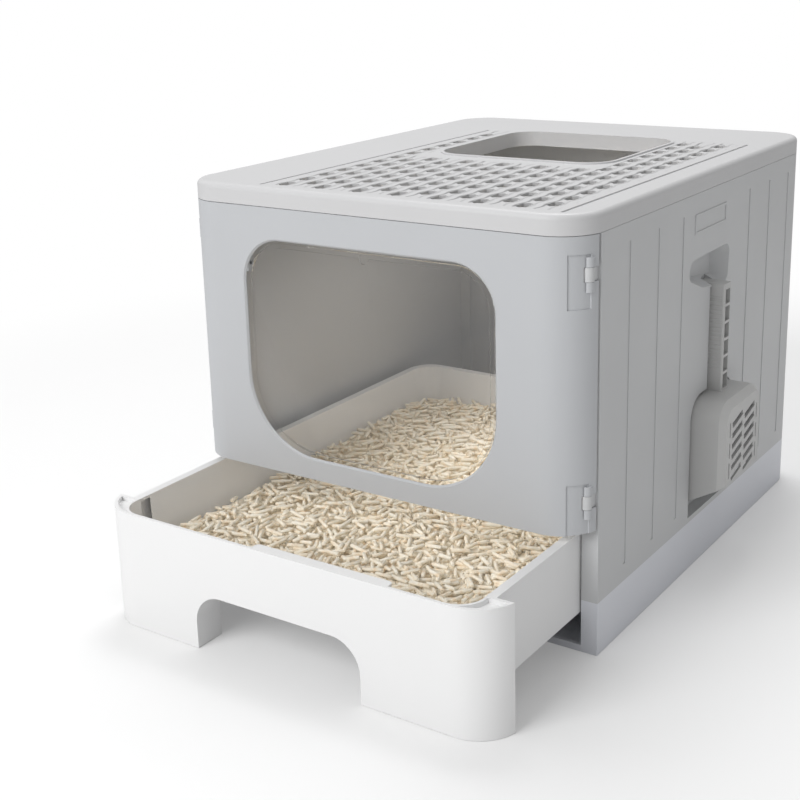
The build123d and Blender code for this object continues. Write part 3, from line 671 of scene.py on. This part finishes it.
# %% [markdown]
# ## Grip ribs on the scoop
# The scoop's handle has fine cross ribs on both sides for the fingers. Each is a low, flattened
# half-round bar, swept straight across the side of the handle. They are too fine to matter to the
# way the scoop works, so they are a mesh on the scoop and not a part of its solid.

# %% Add the grip ribs
GRIP_FLATTEN = 0.6
grip_middle_y, grip_half_w = 0.014, 0.008
grip_x = (0.2025, 0.2150)
grip_low_z, grip_pitch, grip_count, grip_round = 0.192, 0.0042, 17, 0.0009

grip_points, grip_faces = [], []
for side in (-1, 1):
    for rib in range(grip_count):
        z = grip_low_z + rib * grip_pitch
        start = len(grip_points)
        for x in grip_x:
            for step in range(5):
                angle = math.radians(45 * step)
                out = grip_round * GRIP_FLATTEN * math.sin(angle)
                rib_y = grip_middle_y + side * (grip_half_w + out)
                grip_points.append((x, rib_y, z + grip_round * math.cos(angle)))
        for step in range(4):
            a, b = start + step, start + step + 1
            face = (a, b, b + 5, a + 5)
            grip_faces.append(face if side < 0 else face[::-1])
        for end, order in ((start, 1), (start + 5, -1)):
            face = [end + step for step in range(5)][:: order * side]
            grip_faces.append(face)
grip_ribs = piece_from("handle_grip_ribs", grip_points, grip_faces, scoop_plastic, "scoop")
print("grip ribs:", 2 * grip_count)

# %% [markdown]
# ## The studio
# The box stands on a white floor in soft, even light. A broad lamp in front, a little to the left,
# lights the front and shines through the window, a second one above and behind lights the lid, and
# the white world around gives the rest. A small lamp under the lid lifts the cabin a little, the
# way a photographer's fill does, and is itself hidden. The floor's white comes from a glow that
# only the camera sees, not from more light on the box, so the pale plastic keeps its tone and the
# floor still takes a soft shadow.

# %% Floor
FLOOR_REACH, FLOOR_SUNK = 6, 0.0004
floor_corners = [
    (x * FLOOR_REACH, y * FLOOR_REACH, 0) for x, y in ((-1, -1), (1, -1), (1, 1), (-1, 1))
]
floor_mesh = bpy.data.meshes.new("floor")
floor_mesh.from_pydata(floor_corners, [], [(0, 1, 2, 3)])
floor = bpy.data.objects.new("floor", floor_mesh)
floor.location.z = -FLOOR_SUNK
bpy.context.scene.collection.objects.link(floor)
floor_white = bpy.data.materials.new("floor white")
floor_white.use_nodes = True
floor_tree = floor_white.node_tree
floor_tree.nodes.clear()
floor_out = add_node(floor_tree, "ShaderNodeOutputMaterial")
floor_matt = add_node(floor_tree, "ShaderNodeBsdfDiffuse")
floor_matt.inputs["Color"].default_value = (0.74, 0.74, 0.74, 1)
floor_white_near = add_node(floor_tree, "ShaderNodeEmission")
floor_white_near.inputs["Strength"].default_value = 0.17
floor_white_far = add_node(floor_tree, "ShaderNodeEmission")
floor_sum = add_node(floor_tree, "ShaderNodeAddShader")
floor_blend = add_node(floor_tree, "ShaderNodeMixShader")
floor_seen = add_node(floor_tree, "ShaderNodeMixShader")
floor_path = add_node(floor_tree, "ShaderNodeLightPath")
floor_place = add_node(floor_tree, "ShaderNodeTexCoord")
floor_distance = add_node(floor_tree, "ShaderNodeVectorMath", operation="LENGTH")
floor_fade = add_node(floor_tree, "ShaderNodeMapRange", interpolation_type="SMOOTHSTEP")
floor_fade.inputs["From Min"].default_value = 0.7
floor_fade.inputs["From Max"].default_value = 1.2
for source, target in (
    (floor_place.outputs["Object"], floor_distance.inputs[0]),
    (floor_distance.outputs["Value"], floor_fade.inputs["Value"]),
    (floor_matt.outputs["BSDF"], floor_sum.inputs[0]),
    (floor_white_near.outputs["Emission"], floor_sum.inputs[1]),
    (floor_fade.outputs["Result"], floor_blend.inputs["Fac"]),
    (floor_sum.outputs["Shader"], floor_blend.inputs[1]),
    (floor_white_far.outputs["Emission"], floor_blend.inputs[2]),
    (floor_path.outputs["Is Camera Ray"], floor_seen.inputs["Fac"]),
    (floor_matt.outputs["BSDF"], floor_seen.inputs[1]),
    (floor_blend.outputs["Shader"], floor_seen.inputs[2]),
    (floor_seen.outputs["Shader"], floor_out.inputs["Surface"]),
):
    floor_tree.links.new(source, target)
floor_mesh.materials.append(floor_white)
print("floor laid")

# %% [markdown]
# ## The world
# The world plays two parts. As light it is a dim, even white from all sides, which softens the
# shadows. As a backdrop it is plain white, but only to the camera and to rays that passed through
# the clear flap, so that the white behind the box adds no light to it.

# %% World
world = bpy.data.worlds.new("studio")
bpy.context.scene.world = world
world.use_nodes = True
world_tree = world.node_tree
world_tree.nodes.clear()
world_out = add_node(world_tree, "ShaderNodeOutputWorld")
world_seen = add_node(world_tree, "ShaderNodeBackground")
world_seen.inputs["Color"].default_value = (1, 1, 1, 1)
world_light = add_node(world_tree, "ShaderNodeBackground")
world_light.inputs["Color"].default_value = (1, 1, 1, 1)
world_light.inputs["Strength"].default_value = 0.47
world_path = add_node(world_tree, "ShaderNodeLightPath")
world_mix = add_node(world_tree, "ShaderNodeMixShader")
seen_or_clear = add_node(world_tree, "ShaderNodeMath", operation="MAXIMUM")
world_tree.links.new(world_path.outputs["Is Camera Ray"], seen_or_clear.inputs[0])
world_tree.links.new(world_path.outputs["Is Transmission Ray"], seen_or_clear.inputs[1])
world_tree.links.new(seen_or_clear.outputs["Value"], world_mix.inputs["Fac"])
world_tree.links.new(world_light.outputs["Background"], world_mix.inputs[1])
world_tree.links.new(world_seen.outputs["Background"], world_mix.inputs[2])
world_tree.links.new(world_mix.outputs["Shader"], world_out.inputs["Surface"])
print("world light:", world_light.inputs["Strength"].default_value)

# %% [markdown]
# ## The lamps
# Each lamp is a square area light, because a broad source gives the soft edge that the shadow on
# the floor has. A helper places one and turns it towards a point on the box.

# %% Lamps


def lamp(name, place, aim, size, power):
    """A square area lamp that faces a point."""
    data = bpy.data.lights.new(name, "AREA")
    data.size = size
    data.energy = power
    light = bpy.data.objects.new(name, data)
    light.location = place
    light.rotation_euler = (Vector(aim) - Vector(place)).to_track_quat("-Z", "Y").to_euler()
    bpy.context.scene.collection.objects.link(light)
    return light


key_lamp = lamp("key lamp", (-0.54, -2.54, 1.7), (0, 0, 0.2), 1.6, 46)
top_lamp = lamp("top lamp", (-0.45, 0.85, 2.5), (0, 0, 0.2), 1.2, 31)
cabin_lamp = lamp("cabin lamp", (0.02, -0.03, 0.335), (0.04, 0.03, 0.08), 0.22, 0.26)
cabin_lamp.data.color = (1.0, 0.96, 0.91)
cabin_lamp.visible_camera = False
cabin_lamp.visible_transmission = False
cabin_lamp.visible_glossy = False
bpy.context.scene.view_settings.view_transform = "Standard"
print("lamps:", [light.name for light in (key_lamp, top_lamp, cabin_lamp)])
